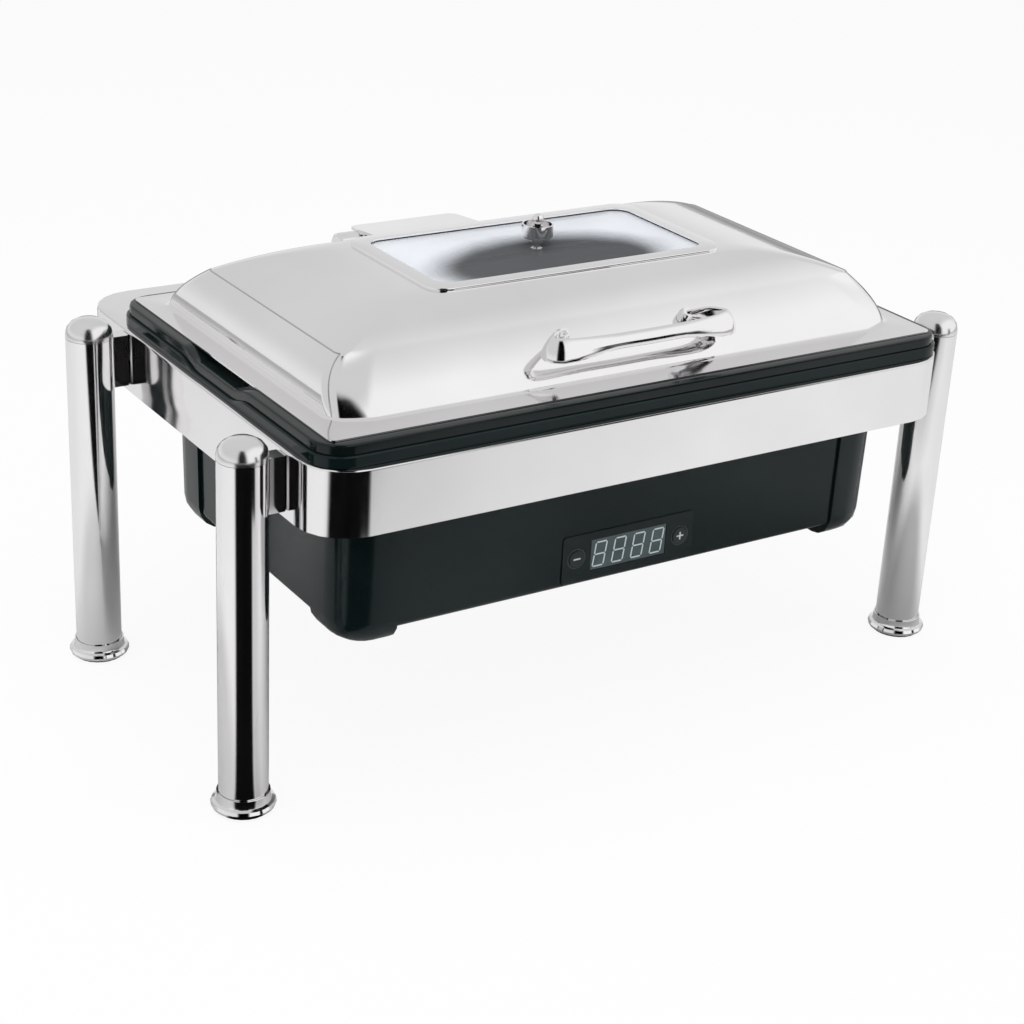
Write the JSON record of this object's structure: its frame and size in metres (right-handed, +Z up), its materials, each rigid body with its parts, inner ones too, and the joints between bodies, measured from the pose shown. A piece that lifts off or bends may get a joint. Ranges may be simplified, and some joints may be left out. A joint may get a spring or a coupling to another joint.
{
  "type": "electric chafing dish",
  "caption": "Electric chafing dish: full-size pan in a water bath on a polished tube-leg stand, with a hinged dome lid, window, bow handle and control panel.",
  "frame": {"origin": "middle of the outline, on the table", "axes": "+X to the right along the long side, +Y to the back, +Z up"},
  "size_m": [0.702, 0.432, 0.389],
  "materials": {
    "polished_steel": "mirror-polished stainless steel",
    "satin_steel": "satin stainless steel",
    "cast_aluminium": "as cast",
    "black_gloss": "glossy black heat-resistant plastic",
    "black_enamel": "glossy black coated sheet",
    "black_matt": "fine matt plastic",
    "display_grey": "tinted display cover",
    "black_rubber": "matt rubber",
    "clear_glass": "clear tempered glass",
    "board_green": "coated circuit board",
    "lead_grey": "silicone-sheathed lead"
  },
  "bodies": {
    "stand": {"base_hatch": "satin_steel", "base_housing": "black_gloss", "control_board": "board_green", "display_lead": "lead_grey", "display_window": "display_grey", "food_pan": "satin_steel", "frame_band": "polished_steel", "heater_clamp_back": "satin_steel", "heater_clamp_front": "satin_steel", "heater_lead_left": "lead_grey", "heater_lead_right": "lead_grey", "heating_plate": "cast_aluminium", "heating_rod": "satin_steel", "hinge_base": "polished_steel", "hinge_damper": "satin_steel", "hinge_pin": "polished_steel", "leg_bolt_back_left": "satin_steel", "leg_bolt_back_right": "satin_steel", "leg_bolt_front_left": "satin_steel", "leg_bolt_front_right": "satin_steel", "leg_bracket_back_left": "polished_steel", "leg_bracket_back_right": "polished_steel", "leg_bracket_front_left": "polished_steel", "leg_bracket_front_right": "polished_steel", "leg_cap_back_left": "polished_steel", "leg_cap_back_right": "polished_steel", "leg_cap_front_left": "polished_steel", "leg_cap_front_right": "polished_steel", "leg_foot_back_left": "polished_steel", "leg_foot_back_right": "polished_steel", "leg_foot_front_left": "polished_steel", "leg_foot_front_right": "polished_steel", "leg_pad_back_left": "black_rubber", "leg_pad_back_right": "black_rubber", "leg_pad_front_left": "black_rubber", "leg_pad_front_right": "black_rubber", "leg_tube_back_left": "polished_steel", "leg_tube_back_right": "polished_steel", "leg_tube_front_left": "polished_steel", "leg_tube_front_right": "polished_steel", "mains_lead": "lead_grey", "panel_bezel": "black_matt", "power_board": "board_green", "power_inlet": "black_matt", "thermal_cutout": "black_matt", "water_pan": "black_enamel"},
    "lid": {"lid_shell": "polished_steel", "lid_handle": "polished_steel", "handle_screw_left": "satin_steel", "handle_screw_right": "satin_steel", "window_gasket": "black_rubber", "window_glass": "clear_glass", "window_retainer": "satin_steel", "knob_cup": "polished_steel", "knob_ball": "polished_steel", "knob_nut": "satin_steel", "hinge_arm": "polished_steel"},
    "minus_key": {"minus_button": "black_matt"},
    "plus_key": {"plus_button": "black_matt"}
  },
  "joints": [
    {"name": "lid_hinge", "type": "hinge", "parent": "stand", "child": "lid", "pos_m": [0, 0.178, 0.312], "axis": [-1, 0, 0], "range_deg": [0, 90]},
    {"name": "minus_press", "type": "slide", "parent": "stand", "child": "minus_key", "axis": [0, 1, 0], "range_m": [0, 0.0008], "stiffness_N_per_m": 1500},
    {"name": "plus_press", "type": "slide", "parent": "stand", "child": "plus_key", "axis": [0, 1, 0], "range_m": [0, 0.0008], "stiffness_N_per_m": 1500}
  ]
}
